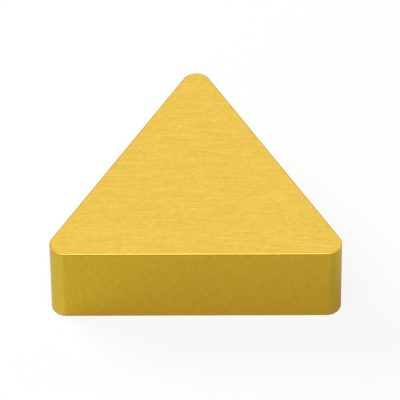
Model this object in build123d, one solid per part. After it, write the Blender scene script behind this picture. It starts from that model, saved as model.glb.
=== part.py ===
from build123d import *
import os

# Triangular indexable insert for turning, one piece of sintered carbide.
# It has no hole and no chip breaker: two flat ground faces and three flat
# ground flanks that stand square to them, so any of its six edges can cut.
#
# Sizes are in millimetres. The origin is the centre of the inscribed circle
# on the lower face. +Z points to the upper face, one nose points along +Y
# and the flank opposite that nose faces -Y.

# --- driving dimensions ---------------------------------------------------
inscribed_circle = 9.525      # diameter of the circle that touches the three flanks, 3/8 in
thickness = 4.7625            # lower face to upper face, 3/16 in
nose_radius = 0.794           # round at each corner in plan, 1/32 in
hone_radius = 0.07            # round on the cutting edge, all the way round both faces

corner_count = 3              # a triangle


def plan_outline():
    """The insert seen from above: straight flanks joined by the nose rounds."""
    sharp_triangle = RegularPolygon(
        radius=inscribed_circle / 2,
        side_count=corner_count,
        major_radius=False,
        rotation=90,
    )
    return fillet(sharp_triangle.vertices(), nose_radius)


def ground_blank():
    """The outline at full thickness, with its edges still sharp."""
    return extrude(plan_outline(), amount=thickness)


def hone_cutting_edges(blank):
    """Round the rim of the lower and the upper face, flanks and noses alike."""
    faces_by_height = blank.faces().sort_by(Axis.Z)
    rims = faces_by_height[0].edges() + faces_by_height[-1].edges()
    return fillet(rims, hone_radius)


insert_body = hone_cutting_edges(ground_blank())

os.makedirs("parts", exist_ok=True)
export_step(insert_body, "parts/insert_body.step")
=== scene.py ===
"""A gold-coated triangular turning insert on a pale studio floor.

The insert is one piece of sintered carbide. Its mesh is grown by Geometry Nodes
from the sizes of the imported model, and its coating is procedural.
"""

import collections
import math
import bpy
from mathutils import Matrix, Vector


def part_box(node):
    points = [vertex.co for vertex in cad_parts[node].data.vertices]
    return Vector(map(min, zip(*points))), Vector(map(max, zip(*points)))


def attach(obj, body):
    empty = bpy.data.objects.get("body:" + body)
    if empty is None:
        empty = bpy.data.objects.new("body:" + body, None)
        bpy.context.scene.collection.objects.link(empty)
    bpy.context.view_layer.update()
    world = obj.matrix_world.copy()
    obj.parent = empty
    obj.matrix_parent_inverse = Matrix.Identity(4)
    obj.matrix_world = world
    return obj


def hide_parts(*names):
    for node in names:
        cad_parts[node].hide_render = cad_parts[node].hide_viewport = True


bl_info = {
    "name": "Coated Turning Insert",
    "version": (1, 0, 0),
    "blender": (4, 5, 0),
    "location": "3D Viewport > Sidebar > Insert",
    "description": "Builds a triangular carbide insert with a gold coating, and a studio for it",
    "category": "Object",
}

import bpy
from mathutils import Matrix, Vector

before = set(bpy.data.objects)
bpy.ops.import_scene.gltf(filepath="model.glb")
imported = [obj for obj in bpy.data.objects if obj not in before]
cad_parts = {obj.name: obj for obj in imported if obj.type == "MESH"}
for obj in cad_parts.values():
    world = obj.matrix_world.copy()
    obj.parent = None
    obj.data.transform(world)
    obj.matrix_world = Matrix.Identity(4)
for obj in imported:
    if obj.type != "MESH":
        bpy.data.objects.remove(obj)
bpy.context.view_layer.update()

CAD_NODE = "insert_body"
MILLIMETRE = 0.001

# Sizes in metres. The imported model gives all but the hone. One nose points along +Y
# and the flank opposite faces -Y. In a triangle of equal sides, the corners lie twice
# as far from the middle as the sides do.
node_low, node_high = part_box(CAD_NODE)
INSCRIBED_CIRCLE = -2 * node_low.y
THICKNESS = node_high.z - node_low.z
NOSE_RADIUS = INSCRIBED_CIRCLE - node_high.y
HONE_RADIUS = 0.07 * MILLIMETRE


# ---------------------------------------------------------------------------
# Small helpers for node trees
# ---------------------------------------------------------------------------


def add_socket(tree, name, socket_type, in_out="INPUT", subtype=None):
    """Give the tree's interface a named socket."""
    socket = tree.interface.new_socket(name=name, in_out=in_out, socket_type=socket_type)
    if subtype is not None:
        socket.subtype = subtype


def add_node(tree, kind, label=None, **settings):
    """A node with its settings, such as operation or data_type."""
    node = tree.nodes.new(kind)
    for key, value in settings.items():
        setattr(node, key, value)
    if label:
        node.label = label
    return node


def fill(tree, socket, value):
    """Link an input to another node's output, or set it to a plain value."""
    if isinstance(value, bpy.types.NodeSocket):
        tree.links.new(value, socket)
    else:
        socket.default_value = value


def feed(tree, node, *values):
    """Fill the node's inputs in order, and give its first output."""
    for socket, value in zip(node.inputs, values):
        fill(tree, socket, value)
    return node.outputs[0] if node.outputs else None


def feed_named(tree, node, **values):
    """Fill the node's inputs by name, with _ for a space, and give its first output."""
    for name, value in values.items():
        fill(tree, node.inputs[name.replace("_", " ")], value)
    return node.outputs[0] if node.outputs else None


def feed_pair(tree, node, first, second):
    """Fill the inputs A and B that the node's data type uses."""
    pair = [socket for socket in node.inputs if socket.enabled and socket.name in ("A", "B")]
    for socket, value in zip(pair, (first, second)):
        fill(tree, socket, value)


def maths(tree, operation, *values, label=None):
    """The result of one Math node."""
    return feed(tree, add_node(tree, "ShaderNodeMath", label, operation=operation), *values)


def whole(tree, operation, *values, label=None):
    """The result of one Integer Math node."""
    node = add_node(tree, "FunctionNodeIntegerMath", label, operation=operation)
    return feed(tree, node, *values)


def compare(tree, operation, first, second):
    """True where two whole numbers compare as the operation says."""
    node = add_node(tree, "FunctionNodeCompare", data_type="INT", operation=operation)
    feed_pair(tree, node, first, second)
    return node.outputs[0]


def vectors(tree, operation, *values, label=None):
    """The vector result of one Vector Math node."""
    return feed(tree, add_node(tree, "ShaderNodeVectorMath", label, operation=operation), *values)


def scaled(tree, vector, factor):
    """The vector times a number."""
    node = add_node(tree, "ShaderNodeVectorMath", operation="SCALE")
    return feed_named(tree, node, Vector=vector, Scale=factor)


def length_of(tree, vector, label=None):
    """The length of a vector."""
    node = add_node(tree, "ShaderNodeVectorMath", label, operation="LENGTH")
    feed(tree, node, vector)
    return node.outputs["Value"]


def combine(tree, x=0.0, y=0.0, z=0.0):
    """A vector from three values."""
    return feed(tree, add_node(tree, "ShaderNodeCombineXYZ"), x, y, z)


def mixed(tree, kind, share, first, second):
    """The first value where share is 0, the second where it is 1."""
    node = add_node(tree, "ShaderNodeMix", data_type=kind, clamp_factor=True)
    feed_named(tree, node, Factor=share)
    feed_pair(tree, node, first, second)
    return next(socket for socket in node.outputs if socket.enabled)


def spread(tree, value, low, high):
    """The value stretched so that low becomes 0 and high becomes 1."""
    node = add_node(tree, "ShaderNodeMapRange", clamp=True)
    return feed_named(tree, node, Value=value, From_Min=low, From_Max=high)


# ---------------------------------------------------------------------------
# The insert's mesh
# ---------------------------------------------------------------------------

CORNERS = 3
CORNER_TURN = 2 * math.pi / CORNERS
FIRST_NOSE = math.pi / 2            # the first nose points along +Y
QUARTER = math.pi / 2               # the turn of each honed edge
WELD_DISTANCE = 1e-7                # m
NORMAL_NAME = "true_normal"         # the attribute that carries the normals to the end


def rim_point_group():
    """A point beside the rim, and the direction out of the insert there.

    The plan of the insert is a smaller sharp triangle, whose corners are the
    centres of the nose rounds, grown outwards by the nose radius. Step counts
    round the plan, nose by nose, and Inset moves the point inwards.
    """
    tree = bpy.data.node_groups.new("Rim Point", "GeometryNodeTree")
    add_socket(tree, "Step", "NodeSocketInt")
    for name in ("Inset", "Height", "Inscribed Circle", "Nose Radius"):
        add_socket(tree, name, "NodeSocketFloat", subtype="DISTANCE")
    add_socket(tree, "Nose Segments", "NodeSocketInt")
    add_socket(tree, "Position", "NodeSocketVector", "OUTPUT")
    add_socket(tree, "Outward", "NodeSocketVector", "OUTPUT")

    given = add_node(tree, "NodeGroupInput").outputs
    points_per_nose = whole(tree, "ADD", given["Nose Segments"], 1)
    corner = whole(tree, "DIVIDE_FLOOR", given["Step"], points_per_nose)
    along_nose = whole(tree, "MODULO", given["Step"], points_per_nose)
    share = maths(tree, "DIVIDE", along_nose, given["Nose Segments"])

    nose_turn = maths(tree, "MULTIPLY_ADD", corner, CORNER_TURN, FIRST_NOSE)
    first_turn = maths(tree, "SUBTRACT", nose_turn, CORNER_TURN / 2)
    turn = maths(tree, "MULTIPLY_ADD", share, CORNER_TURN, first_turn)
    outward = combine(tree, maths(tree, "COSINE", turn), maths(tree, "SINE", turn))
    to_nose = combine(tree, maths(tree, "COSINE", nose_turn), maths(tree, "SINE", nose_turn))

    nose_reach = maths(tree, "MULTIPLY_ADD", given["Nose Radius"], -2.0, given["Inscribed Circle"])
    nose_centre = scaled(tree, to_nose, nose_reach)
    round_radius = maths(tree, "SUBTRACT", given["Nose Radius"], given["Inset"])
    flat_point = vectors(tree, "ADD", nose_centre, scaled(tree, outward, round_radius))
    point = vectors(tree, "ADD", flat_point, combine(tree, z=given["Height"]))
    feed(tree, add_node(tree, "NodeGroupOutput"), point, outward)
    return tree


def on_rim(tree, given, rim_point, step, inset, height):
    """The position and the outward direction at one step round the rim."""
    node = add_node(tree, "GeometryNodeGroup", node_tree=rim_point)
    feed_named(tree, node, Step=step, Inset=inset, Height=height)
    for name in ("Inscribed Circle", "Nose Radius", "Nose Segments"):
        fill(tree, node.inputs[name], given[name])
    return node.outputs["Position"], node.outputs["Outward"]


def rim_points(tree, given):
    """How many points lie round the rim."""
    points_per_nose = whole(tree, "ADD", given["Nose Segments"], 1)
    return whole(tree, "MULTIPLY", points_per_nose, CORNERS)


def placed(tree, mesh, position, normal):
    """The mesh with its points at the position, and their true normal kept with them."""
    node = add_node(tree, "GeometryNodeSetPosition")
    mesh = feed_named(tree, node, Geometry=mesh, Position=position)
    store = add_node(
        tree, "GeometryNodeStoreNamedAttribute", data_type="FLOAT_VECTOR", domain="POINT"
    )
    return feed_named(tree, store, Geometry=mesh, Name=NORMAL_NAME, Value=normal)


def with_finish(tree, mesh, material, where=True):
    """The mesh, with the material on the chosen faces."""
    node = add_node(tree, "GeometryNodeSetMaterial")
    return feed_named(tree, node, Geometry=mesh, Selection=where, Material=material)


def joined(tree, *meshes):
    """One mesh of several."""
    node = add_node(tree, "GeometryNodeJoinGeometry")
    for mesh in meshes:
        tree.links.new(mesh, node.inputs[0])
    return node.outputs[0]


def honed_wall(tree, given, rim_point):
    """The wall from the lower face to the upper one, with both honed edges.

    Each column of its grid is one section: over the lower honed edge, up the
    flank and over the upper honed edge.
    """
    points_per_hone = whole(tree, "ADD", given["Hone Segments"], 1)
    rows = whole(tree, "MULTIPLY", points_per_hone, 2)
    columns = whole(tree, "ADD", rim_points(tree, given), 1)
    grid = add_node(tree, "GeometryNodeMeshGrid")
    feed_named(tree, grid, Vertices_X=columns, Vertices_Y=rows)

    index = add_node(tree, "GeometryNodeInputIndex").outputs[0]
    column = whole(tree, "DIVIDE_FLOOR", index, rows)
    row = whole(tree, "MODULO", index, rows)
    upper = whole(tree, "DIVIDE_FLOOR", row, points_per_hone, label="0 lower edge, 1 upper edge")
    along_hone = whole(tree, "MODULO", row, points_per_hone)
    share = maths(tree, "DIVIDE", along_hone, given["Hone Segments"])
    quarters = maths(tree, "ADD", maths(tree, "SUBTRACT", share, 1.0), upper)
    tilt = maths(tree, "MULTIPLY", quarters, QUARTER, label="-90 down, 0 out, 90 up")
    level = maths(tree, "COSINE", tilt)
    rise = maths(tree, "SINE", tilt)
    inset = maths(tree, "MULTIPLY", maths(tree, "SUBTRACT", 1.0, level), given["Hone Radius"])
    edge_height = maths(tree, "MULTIPLY", maths(tree, "ADD", 1.0, rise), given["Hone Radius"])
    flank_height = maths(tree, "MULTIPLY_ADD", given["Hone Radius"], -2.0, given["Thickness"])
    height = maths(tree, "MULTIPLY_ADD", flank_height, upper, edge_height)
    point, outward = on_rim(tree, given, rim_point, column, inset, height)
    out_part = scaled(tree, outward, level)
    up_part = scaled(tree, combine(tree, z=1.0), rise)
    wall = placed(tree, grid.outputs["Mesh"], point, vectors(tree, "ADD", out_part, up_part))
    return with_wall_finishes_and_shade(tree, given, wall, rows)


def with_wall_finishes_and_shade(tree, given, wall, rows):
    """The wall, with a finish for each part of its section, some of them painted shade.

    The side of the insert is the row of faces between the two honed edges. A few
    rows beside it are the shoulders, where the hones run out into the side; their dark
    colours are painted shade. The last few are the rims, where they run out into the
    flat faces.
    """
    index = add_node(tree, "GeometryNodeInputIndex").outputs[0]
    face_row = whole(tree, "MODULO", index, whole(tree, "SUBTRACT", rows, 1))
    above_side = whole(tree, "SUBTRACT", face_row, given["Hone Segments"])
    from_side = whole(tree, "ABSOLUTE", above_side)
    before_rim = whole(tree, "SUBTRACT", given["Hone Segments"], given["Rim Segments"])
    is_rim = compare(tree, "GREATER_THAN", from_side, before_rim)
    # The shoulders get a dark line of painted shade along both edges of the side.
    is_shoulder = compare(tree, "LESS_EQUAL", from_side, given["Shoulder Segments"])
    is_side = compare(tree, "EQUAL", from_side, 0)
    wall = with_finish(tree, wall, given["Edge Finish"])
    wall = with_finish(tree, wall, given["Rim Finish"], is_rim)
    wall = with_finish(tree, wall, given["Shoulder Finish"], is_shoulder)
    return with_finish(tree, wall, given["Side Finish"], is_side)


def flat_face(tree, given, rim_point, height, up_or_down):
    """One flat face within its honed edge, which looks up for 1.0 and down for -1.0."""
    disc = add_node(tree, "GeometryNodeMeshCircle", fill_type="NGON")
    disc = feed_named(tree, disc, Vertices=rim_points(tree, given))
    index = add_node(tree, "GeometryNodeInputIndex").outputs[0]
    position, _ = on_rim(tree, given, rim_point, index, given["Hone Radius"], height)
    return placed(tree, disc, position, combine(tree, z=up_or_down))


def insert_tree():
    """The whole insert: a wall round the rim with both honed edges, and two flat faces."""
    rim_point = rim_point_group()
    tree = bpy.data.node_groups.new("Triangular Insert", "GeometryNodeTree")
    for name in ("Inscribed Circle", "Thickness", "Nose Radius", "Hone Radius"):
        add_socket(tree, name, "NodeSocketFloat", subtype="DISTANCE")
    for name in ("Nose Segments", "Hone Segments", "Shoulder Segments", "Rim Segments"):
        add_socket(tree, name, "NodeSocketInt")
    for name in ("Face Finish", "Side Finish", "Edge Finish", "Shoulder Finish", "Rim Finish"):
        add_socket(tree, name, "NodeSocketMaterial")
    add_socket(tree, "Insert", "NodeSocketGeometry", "OUTPUT")

    given = add_node(tree, "NodeGroupInput").outputs
    wall = honed_wall(tree, given, rim_point)
    upper_face = flat_face(tree, given, rim_point, given["Thickness"], 1.0)
    lower_face = flat_face(tree, given, rim_point, 0.0, -1.0)
    lower_face = feed_named(tree, add_node(tree, "GeometryNodeFlipFaces"), Mesh=lower_face)
    faces = with_finish(tree, joined(tree, lower_face, upper_face), given["Face Finish"])
    shell = joined(tree, faces, wall)
    weld = add_node(tree, "GeometryNodeMergeByDistance")
    shell = feed_named(tree, weld, Geometry=shell, Distance=WELD_DISTANCE)
    smooth = add_node(tree, "GeometryNodeSetShadeSmooth")
    shell = feed_named(tree, smooth, Geometry=shell, Shade_Smooth=True)

    # The surface has no sharp edge anywhere, so each point has one true normal.
    stored = add_node(tree, "GeometryNodeInputNamedAttribute", data_type="FLOAT_VECTOR")
    true_normal = feed_named(tree, stored, Name=NORMAL_NAME)
    set_normal = add_node(tree, "GeometryNodeSetMeshNormal", mode="FREE", domain="POINT")
    shell = feed_named(tree, set_normal, Mesh=shell, Custom_Normal=true_normal)
    clear = add_node(tree, "GeometryNodeRemoveAttribute")
    shell = feed_named(tree, clear, Geometry=shell, Name=NORMAL_NAME)

    realised = feed(tree, add_node(tree, "GeometryNodeRealizeInstances"), shell)
    feed(tree, add_node(tree, "NodeGroupOutput"), realised)
    return tree


def add_object(name, data):
    """A new object in the scene."""
    thing = bpy.data.objects.new(name, data)
    bpy.context.scene.collection.objects.link(thing)
    return thing


def grow(name, tree, **inputs):
    """A plain mesh object, made by the tree from the named inputs."""
    seed_mesh = bpy.data.meshes.new(name)
    piece = add_object(name, seed_mesh)
    modifier = piece.modifiers.new("Grow", "NODES")
    modifier.node_group = tree
    identifiers = {
        item.name: item.identifier
        for item in tree.interface.items_tree
        if item.item_type == "SOCKET" and item.in_out == "INPUT"
    }
    for label, value in inputs.items():
        modifier[identifiers[label.replace("_", " ")]] = value
    piece.update_tag()
    depsgraph = bpy.context.evaluated_depsgraph_get()
    evaluated = piece.evaluated_get(depsgraph)
    result = bpy.data.meshes.new_from_object(evaluated, depsgraph=depsgraph)
    piece.modifiers.remove(modifier)
    piece.data = result
    result.name = name
    bpy.data.meshes.remove(seed_mesh)
    return piece


# ---------------------------------------------------------------------------
# The coating
# ---------------------------------------------------------------------------

GRAIN_DETAIL = 2.0
GRAIN_ROUGHNESS = 0.6
GRAIN_RANGE = (0.36, 0.64)          # the grain's values for a valley and for a crest
CLOUDS_PER_METRE = 1400.0
CLOUD_DETAIL = 2.0
CLOUD_ROUGHNESS = 0.5
DRIFT_RANGE = (0.35, 0.75)          # the drift's values beside a cloud and inside one
NOSE_RUN_OUT = math.radians(18.0)   # turn over which the flank's finish becomes the nose's

# Tints of the reflection that a surface gives at a flat angle.
COATING_GRAZING = (0.82, 0.80, 0.75, 1.0)
HONE_GRAZING = (0.40, 0.25, 0.05, 1.0)

# Marks are given by their size along X, Y and Z, and relief is their depth. turn is the
# angle of the wheel's path, and drift_share says how much of the clouds' tint shows.
Finish = collections.namedtuple(
    "Finish", "short_mark long_mark long_share turn drift_share roughness relief grazing"
)


def mark(x, y, z):
    """The size of a grinding mark, from millimetres."""
    return (x * MILLIMETRE, y * MILLIMETRE, z * MILLIMETRE)


FACE_GRINDING = Finish(
    short_mark=mark(0.22, 0.11, 0.22),
    long_mark=mark(2.6, 0.11, 2.6),
    long_share=0.45,
    turn=math.radians(-2.0),
    drift_share=0.5,
    roughness=0.38,
    relief=0.002 * MILLIMETRE,
    grazing=COATING_GRAZING,
)
FLANK_GRINDING = Finish(
    short_mark=mark(0.09, 0.09, 0.16),
    long_mark=mark(0.25, 0.25, 0.7),
    long_share=0.3,
    turn=0.0,
    drift_share=0.5,
    roughness=0.65,
    relief=0.002 * MILLIMETRE,
    grazing=COATING_GRAZING,
)
NOSE_GRINDING = Finish(
    short_mark=mark(0.11, 0.11, 0.3),
    long_mark=mark(0.11, 0.11, 2.0),
    long_share=0.4,
    turn=0.0,
    drift_share=0.3,
    roughness=0.25,
    relief=0.001 * MILLIMETRE,
    grazing=COATING_GRAZING,
)
EDGE_HONING = Finish(
    short_mark=mark(0.15, 0.15, 0.15),
    long_mark=mark(0.5, 0.5, 0.5),
    long_share=0.5,
    turn=0.0,
    drift_share=0.0,
    roughness=0.3,
    relief=0.0003 * MILLIMETRE,
    grazing=HONE_GRAZING,
)


def grain_group():
    """Marks left by a grinding wheel, as a value around one half.

    Short and long marks are given by their size along X, Y and Z, and Long Share
    mixes them. Turn is the angle of the wheel's path over the surface.
    """
    tree = bpy.data.node_groups.new("Ground Grain", "ShaderNodeTree")
    for name in ("Position", "Short Mark", "Long Mark"):
        add_socket(tree, name, "NodeSocketVector")
    add_socket(tree, "Long Share", "NodeSocketFloat")
    add_socket(tree, "Turn", "NodeSocketVector", subtype="EULER")
    add_socket(tree, "Grain", "NodeSocketFloat", "OUTPUT")
    given = add_node(tree, "NodeGroupInput").outputs
    layers = []
    for name in ("Short Mark", "Long Mark"):
        mapping = add_node(tree, "ShaderNodeMapping", name, vector_type="TEXTURE")
        feed_named(tree, mapping, Vector=given["Position"], Scale=given[name])
        place = feed_named(tree, mapping, Rotation=given["Turn"])
        noise = add_node(tree, "ShaderNodeTexNoise", name, noise_dimensions="3D")
        feed_named(tree, noise, Vector=place, Scale=1.0)
        layers.append(feed_named(tree, noise, Detail=GRAIN_DETAIL, Roughness=GRAIN_ROUGHNESS))
    grain = mixed(tree, "FLOAT", given["Long Share"], *layers)
    feed(tree, add_node(tree, "NodeGroupOutput"), grain)
    return tree


def drift_group():
    """Broad, faint clouds in the tint of the coating, as a value around one half."""
    tree = bpy.data.node_groups.new("Tint Drift", "ShaderNodeTree")
    add_socket(tree, "Position", "NodeSocketVector")
    add_socket(tree, "Clouds Per Metre", "NodeSocketFloat")
    add_socket(tree, "Drift", "NodeSocketFloat", "OUTPUT")
    given = add_node(tree, "NodeGroupInput").outputs
    noise = add_node(tree, "ShaderNodeTexNoise", noise_dimensions="3D")
    feed_named(tree, noise, Vector=given["Position"], Scale=given["Clouds Per Metre"])
    drift = feed_named(tree, noise, Detail=CLOUD_DETAIL, Roughness=CLOUD_ROUGHNESS)
    feed(tree, add_node(tree, "NodeGroupOutput"), drift)
    return tree


def ground_surface(tree, groups, position, finish, valley, crest, clouds=None):
    """The colour and the height of a ground and coated surface.

    valley and crest are the colours of the grinding marks. clouds is the drift's
    colour, and only a finish without drift goes without it.
    """
    grain = add_node(tree, "ShaderNodeGroup", node_tree=groups["grain"])
    feed_named(tree, grain, Position=position, Turn=(0.0, 0.0, finish.turn))
    feed_named(tree, grain, Short_Mark=finish.short_mark, Long_Mark=finish.long_mark)
    grain = feed_named(tree, grain, Long_Share=finish.long_share)
    colour = mixed(tree, "RGBA", spread(tree, grain, *GRAIN_RANGE), valley, crest)
    if finish.drift_share:
        drift = add_node(tree, "ShaderNodeGroup", node_tree=groups["drift"])
        drift = feed_named(tree, drift, Position=position, Clouds_Per_Metre=CLOUDS_PER_METRE)
        cloud_share = spread(tree, drift, *DRIFT_RANGE)
        cloud_share = maths(tree, "MULTIPLY", cloud_share, finish.drift_share)
        colour = mixed(tree, "RGBA", cloud_share, colour, clouds)
    height = maths(tree, "MULTIPLY", grain, finish.relief, label="Relief")
    return colour, height


def new_material(name):
    """A material, its node tree and the position on the object that wears it."""
    material = bpy.data.materials.new(name)
    material.use_nodes = True
    tree = material.node_tree
    return material, tree, add_node(tree, "ShaderNodeTexCoord").outputs["Object"]


def coat(tree, colour, height, roughness, grazing):
    """Make the tree's shader a metallic nitride coating over the relief, in metres."""
    bump = add_node(tree, "ShaderNodeBump")
    normal = feed_named(tree, bump, Strength=1.0, Distance=1.0, Height=height)
    shader = tree.nodes["Principled BSDF"]
    feed_named(tree, shader, Base_Color=colour, Normal=normal)
    feed_named(tree, shader, Metallic=1.0, Roughness=roughness, Specular_Tint=grazing)


def plain_coating(name, groups, finish, *colours):
    """The coating over one ground surface."""
    material, tree, position = new_material(name)
    colour, height = ground_surface(tree, groups, position, finish, *colours)
    coat(tree, colour, height, finish.roughness, finish.grazing)
    return material


def nose_distance(sizes, turn):
    """How far a point of the nose lies from the axis, by its turn from the tip."""
    centre = sizes.inscribed_circle - 2 * sizes.nose_radius
    return math.hypot(
        centre + sizes.nose_radius * math.cos(turn), sizes.nose_radius * math.sin(turn)
    )


def side_coating(name, groups, flank_colours, nose_colours, sizes):
    """The coating of the flanks, which turns into that of the noses round the corner. Its colours,
    darker than the flat faces', are partly painted shade.
    """
    material, tree, position = new_material(name)
    in_plan = vectors(tree, "MULTIPLY", position, (1.0, 1.0, 0.0))
    from_axis = length_of(tree, in_plan, "From Axis")
    flank_end = nose_distance(sizes, CORNER_TURN / 2)
    nose_begin = nose_distance(sizes, CORNER_TURN / 2 - NOSE_RUN_OUT)
    on_nose = spread(tree, from_axis, flank_end, nose_begin)
    flank_colour, flank_height = ground_surface(
        tree, groups, position, FLANK_GRINDING, *flank_colours
    )
    nose_colour, nose_height = ground_surface(
        tree, groups, position, NOSE_GRINDING, *nose_colours
    )
    colour = mixed(tree, "RGBA", on_nose, flank_colour, nose_colour)
    height = mixed(tree, "FLOAT", on_nose, flank_height, nose_height)
    roughness = mixed(tree, "FLOAT", on_nose, FLANK_GRINDING.roughness, NOSE_GRINDING.roughness)
    coat(tree, colour, height, roughness, FLANK_GRINDING.grazing)
    return material


# ---------------------------------------------------------------------------
# Settings
# ---------------------------------------------------------------------------


def length_setting(name, description, default):
    """A length that the panel can change."""
    return bpy.props.FloatProperty(
        name=name,
        description=description,
        default=default,
        precision=6,
        unit="LENGTH",
    )


def step_setting(name, description, default, least):
    """A number of mesh steps that the panel can change."""
    return bpy.props.IntProperty(name=name, description=description, default=default, min=least)


def colour_setting(name, description, default):
    """A colour that the panel can change."""
    return bpy.props.FloatVectorProperty(
        name=name,
        description=description,
        subtype="COLOR",
        size=4,
        min=0.0,
        max=1.0,
        default=default,
    )


class InsertSizes(bpy.types.PropertyGroup):
    """Sizes of the insert and steps of its mesh"""

    inscribed_circle: length_setting(
        "Inscribed Circle",
        "Diameter of the circle that touches the three flanks",
        INSCRIBED_CIRCLE,
    )
    thickness: length_setting("Thickness", "Distance between the two flat faces", THICKNESS)
    nose_radius: length_setting(
        "Nose Radius", "Round at each corner, seen from above", NOSE_RADIUS
    )
    hone_radius: length_setting("Hone Radius", "Round along the six cutting edges", HONE_RADIUS)
    nose_segments: step_setting(
        "Nose Segments", "Mesh steps round each nose", default=64, least=3
    )
    hone_segments: step_setting(
        "Hone Segments", "Mesh steps over each honed edge", default=12, least=2
    )
    # The shoulder is a dark line of painted shade beside the side.
    shoulder_segments: step_setting(
        "Shoulder Segments",
        "How many of those steps, next to the side, are the darker shoulder",
        default=3,
        least=0,
    )
    rim_segments: step_setting(
        "Rim Segments",
        "How many of those steps, next to the face, are the darker rim",
        default=3,
        least=0,
    )


class InsertLook(bpy.types.PropertyGroup):
    """Colours of the coating, with painted shade on the sides and shoulders"""

    face_valley: colour_setting(
        "Face Valleys", "Darkest marks on the flat faces", (0.799, 0.509, 0.058, 1.0)
    )
    face_crest: colour_setting(
        "Face Crests", "Brightest marks on the flat faces", (0.922, 0.638, 0.130, 1.0)
    )
    face_clouds: colour_setting(
        "Face Clouds", "Tint that drifts over the flat faces", (0.799, 0.558, 0.089, 1.0)
    )
    # The flank and nose colours are darker than the face colours, which is partly painted shade on
    # the sides.
    flank_valley: colour_setting(
        "Flank Valleys", "Darkest marks on the flanks", (0.581, 0.390, 0.019, 1.0)
    )
    flank_crest: colour_setting(
        "Flank Crests", "Brightest marks on the flanks", (0.658, 0.475, 0.060, 1.0)
    )
    flank_clouds: colour_setting(
        "Flank Clouds", "Tint that drifts over the flanks", (0.636, 0.412, 0.032, 1.0)
    )
    nose_valley: colour_setting(
        "Nose Valleys", "Darkest marks on the noses", (0.593, 0.403, 0.034, 1.0)
    )
    nose_crest: colour_setting(
        "Nose Crests", "Brightest marks on the noses", (0.642, 0.448, 0.049, 1.0)
    )
    nose_clouds: colour_setting(
        "Nose Clouds", "Tint that drifts over the noses", (0.621, 0.431, 0.042, 1.0)
    )
    edge_valley: colour_setting(
        "Edge Valleys", "Darkest marks on the honed edges", (0.839, 0.539, 0.076, 1.0)
    )
    edge_crest: colour_setting(
        "Edge Crests", "Brightest marks on the honed edges", (0.880, 0.578, 0.093, 1.0)
    )
    # The shoulder colours are painted shade: a dark line along both edges of the side.
    shoulder_valley: colour_setting(
        "Shoulder Valleys", "Darkest marks beside the sides", (0.242, 0.122, 0.002, 1.0)
    )
    shoulder_crest: colour_setting(
        "Shoulder Crests", "Brightest marks beside the sides", (0.305, 0.156, 0.004, 1.0)
    )
    rim_valley: colour_setting(
        "Rim Valleys", "Darkest marks beside the flat faces", (0.610, 0.305, 0.010, 1.0)
    )
    rim_crest: colour_setting(
        "Rim Crests", "Brightest marks beside the flat faces", (0.680, 0.361, 0.017, 1.0)
    )


# ---------------------------------------------------------------------------
# The studio
# ---------------------------------------------------------------------------

WHITE = (1.0, 1.0, 1.0, 1.0)
WHITE_STRENGTH = 1.0                # shows as plain white

FLOOR_HALF = 1.5                    # m
FLOOR_DROP = 0.01 * MILLIMETRE      # keeps the floor clear of the lower face
FLOOR_COLOUR = (0.95, 0.95, 0.95, 1.0)
WHITE_FROM = (0.03, 0.15)           # m from the origin, where the floor turns white
SHADOW_LIFT_SEEN = 0.85             # how far the camera sees the shadow lightened to white
SHADOW_LIFT_REFLECTED = 0.05        # the same in reflections and through glass
FAR_LIFT = 1.0                      # the same for both, where the floor has turned white

AMBIENT = 0.36                      # the tent's strength on matt things
KEY_PLACE = (-0.223, 0.164, 0.160)  # m, low, to the left and behind
KEY_SIZE = (0.20, 0.20)             # m
KEY_POWER = 0.960                   # W
EDGE_PLACE = (-0.035, -0.10, 0.30)  # m, above and in front, for the line along the edge
EDGE_SIZE = (0.17, 0.10)            # m
EDGE_POWER = 0.245                  # W

VIEW_SIDE = 400                     # pixels along each side of the square view
SENSOR_WIDTH = 36.0                 # mm
CAMERA_DISTANCE = 260 * MILLIMETRE
CAMERA_ELEVATION = math.radians(46.07)
CAMERA_AZIMUTH = math.radians(0.53)
CAMERA_ROLL = math.radians(0.55)
CLIP_START = CAMERA_DISTANCE / 100  # what is nearer than this isn't drawn
PIXELS_PER_MM = 18.65               # at the origin, at the camera's distance
AIM_RIGHT = -0.210 * MILLIMETRE     # how far the origin lies right of the middle of the view
AIM_UP = -2.708 * MILLIMETRE        # how far it lies above the middle


def by_ray(tree, seen, reflected, otherwise=0.0):
    """One value to the camera, one in reflections and through glass, one to other rays."""
    path = add_node(tree, "ShaderNodeLightPath").outputs
    mirrored = maths(tree, "MAXIMUM", path["Is Glossy Ray"], path["Is Transmission Ray"])
    value = maths(tree, "MULTIPLY_ADD", mirrored, reflected - otherwise, otherwise)
    return maths(tree, "MULTIPLY_ADD", path["Is Camera Ray"], seen - otherwise, value)


def pale_floor():
    """A pale matt finish, on which the insert's shadow is lightened.

    Away from the insert it fades to plain white, so that no horizon shows.
    """
    material, tree, position = new_material("pale_floor")
    shader = tree.nodes["Principled BSDF"]
    matt = feed_named(
        tree, shader, Base_Color=FLOOR_COLOUR, Roughness=1.0, Specular_IOR_Level=0.0
    )
    glow = add_node(tree, "ShaderNodeEmission")
    white = feed_named(tree, glow, Color=WHITE, Strength=WHITE_STRENGTH)
    fade = spread(tree, length_of(tree, position, "Away"), *WHITE_FROM)
    beside_insert = by_ray(tree, SHADOW_LIFT_SEEN, SHADOW_LIFT_REFLECTED)
    far_away = by_ray(tree, FAR_LIFT, FAR_LIFT)
    lift_share = mixed(tree, "FLOAT", fade, beside_insert, far_away)
    lifted = feed(tree, add_node(tree, "ShaderNodeMixShader"), lift_share, matt, white)
    feed_named(tree, tree.nodes["Material Output"], Surface=lifted)
    return material


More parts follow.
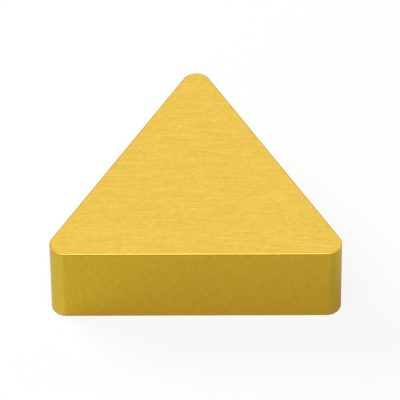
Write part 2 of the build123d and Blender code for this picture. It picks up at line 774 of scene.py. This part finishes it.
def build_floor():
    """A wide floor just under the insert."""
    corners = [(-1, -1), (1, -1), (1, 1), (-1, 1)]
    points = [(x * FLOOR_HALF, y * FLOOR_HALF, -FLOOR_DROP) for x, y in corners]
    mesh = bpy.data.meshes.new("studio_floor")
    mesh.from_pydata(points, [], [(0, 1, 2, 3)])
    mesh.materials.append(pale_floor())
    floor = add_object("studio_floor", mesh)


def build_world():
    """A white tent to the camera and in reflections, and a softer light on matt things."""
    world = bpy.data.worlds.new("white_tent")
    bpy.context.scene.world = world
    world.use_nodes = True
    tree = world.node_tree
    strength = by_ray(tree, WHITE_STRENGTH, WHITE_STRENGTH, AMBIENT)
    feed_named(tree, tree.nodes["Background"], Color=WHITE, Strength=strength)


def build_lamp(name, place, size, power, in_reflections=True):
    """A flat soft lamp that faces the insert."""
    light = bpy.data.lights.new(name, "AREA")
    light.shape = "RECTANGLE"
    light.size, light.size_y = size
    light.energy = power
    lamp = add_object(name, light)
    lamp.location = place
    lamp.rotation_euler = Vector(place).to_track_quat("Z", "Y").to_euler()
    lamp.visible_camera = False
    lamp.visible_glossy = in_reflections


def build_camera():
    """The camera, by where the model's origin lies in its view."""
    cos_el, sin_el = math.cos(CAMERA_ELEVATION), math.sin(CAMERA_ELEVATION)
    cos_az, sin_az = math.cos(CAMERA_AZIMUTH), math.sin(CAMERA_AZIMUTH)
    back = Vector((sin_az * cos_el, -cos_az * cos_el, sin_el))
    right = Vector((cos_az, sin_az, 0.0))
    up = back.cross(right)
    place = back * CAMERA_DISTANCE - right * AIM_RIGHT - up * AIM_UP
    data = bpy.data.cameras.new("camera")
    data.sensor_width = SENSOR_WIDTH
    focal_pixels = PIXELS_PER_MM * CAMERA_DISTANCE / MILLIMETRE
    data.lens = SENSOR_WIDTH * focal_pixels / VIEW_SIDE
    data.clip_start = CLIP_START
    camera = add_object("camera", data)
    axes = Matrix((right, up, back)).transposed().to_4x4()
    roll = Matrix.Rotation(-CAMERA_ROLL, 4, "Z")
    camera.matrix_world = Matrix.Translation(place) @ axes @ roll
    bpy.context.scene.camera = camera


# ---------------------------------------------------------------------------
# Operators
# ---------------------------------------------------------------------------


def insert_finishes_and_shade(sizes, look):
    """The coatings of the insert, with their painted shade, by the tree's inputs that take them.
    """
    groups = {"grain": grain_group(), "drift": drift_group()}
    return {
        "Face_Finish": plain_coating(
            "ground_face_coating",
            groups,
            FACE_GRINDING,
            look.face_valley,
            look.face_crest,
            look.face_clouds,
        ),
        "Side_Finish": side_coating(
            "ground_side_coating_and_painted_shade",
            groups,
            (look.flank_valley, look.flank_crest, look.flank_clouds),
            (look.nose_valley, look.nose_crest, look.nose_clouds),
            sizes,
        ),
        "Edge_Finish": plain_coating(
            "honed_edge_coating", groups, EDGE_HONING, look.edge_valley, look.edge_crest
        ),
        # The shoulders' dark colours are painted shade.
        "Shoulder_Finish": plain_coating(
            "hone_shoulder_painted_shade",
            groups,
            EDGE_HONING,
            look.shoulder_valley,
            look.shoulder_crest,
        ),
        "Rim_Finish": plain_coating(
            "hone_rim_coating", groups, EDGE_HONING, look.rim_valley, look.rim_crest
        ),
    }


class INSERT_OT_body(bpy.types.Operator):
    """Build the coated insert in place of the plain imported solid"""

    bl_idname = "insert.body"
    bl_label = "Insert Body"

    def execute(self, context):
        sizes = context.scene.insert_sizes
        # These finishes include the painted shade of the sides and shoulders.
        finishes = insert_finishes_and_shade(sizes, context.scene.insert_look)
        body = grow(
            "coated_insert",
            insert_tree(),
            Inscribed_Circle=sizes.inscribed_circle,
            Thickness=sizes.thickness,
            Nose_Radius=sizes.nose_radius,
            Hone_Radius=sizes.hone_radius,
            Nose_Segments=sizes.nose_segments,
            Hone_Segments=sizes.hone_segments,
            Shoulder_Segments=sizes.shoulder_segments,
            Rim_Segments=sizes.rim_segments,
            **finishes,
        )
        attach(body, "root")
        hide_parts(CAD_NODE)
        return {"FINISHED"}


class INSERT_OT_stage(bpy.types.Operator):
    """Build the floor, the lamps, the world and the camera"""

    bl_idname = "insert.stage"
    bl_label = "Studio"

    def execute(self, context):
        build_floor()
        build_world()
        build_lamp("key_lamp", KEY_PLACE, KEY_SIZE, KEY_POWER, in_reflections=False)
        build_lamp("edge_lamp", EDGE_PLACE, EDGE_SIZE, EDGE_POWER)
        build_camera()
        context.scene.view_settings.view_transform = "Standard"
        return {"FINISHED"}


# ---------------------------------------------------------------------------
# Panel and registration
# ---------------------------------------------------------------------------


class INSERT_PT_panel(bpy.types.Panel):
    """Sizes, colours and build steps of the insert"""

    bl_label = "Turning Insert"
    bl_idname = "INSERT_PT_panel"
    bl_space_type = "VIEW_3D"
    bl_region_type = "UI"
    bl_category = "Insert"

    def draw(self, context):
        layout = self.layout
        for settings in (context.scene.insert_sizes, context.scene.insert_look):
            box = layout.box()
            for name in settings.__annotations__:
                box.prop(settings, name)
        layout.operator(INSERT_OT_body.bl_idname)
        layout.operator(INSERT_OT_stage.bl_idname)


CLASSES = (InsertSizes, InsertLook, INSERT_OT_body, INSERT_OT_stage, INSERT_PT_panel)


def register():
    for cls in CLASSES:
        bpy.utils.register_class(cls)
    bpy.types.Scene.insert_sizes = bpy.props.PointerProperty(type=InsertSizes)
    bpy.types.Scene.insert_look = bpy.props.PointerProperty(type=InsertLook)


def unregister():
    del bpy.types.Scene.insert_look
    del bpy.types.Scene.insert_sizes
    for cls in reversed(CLASSES):
        bpy.utils.unregister_class(cls)


def main():
    register()
    bpy.ops.insert.body()
    bpy.ops.insert.stage()


if __name__ == "__main__":
    main()
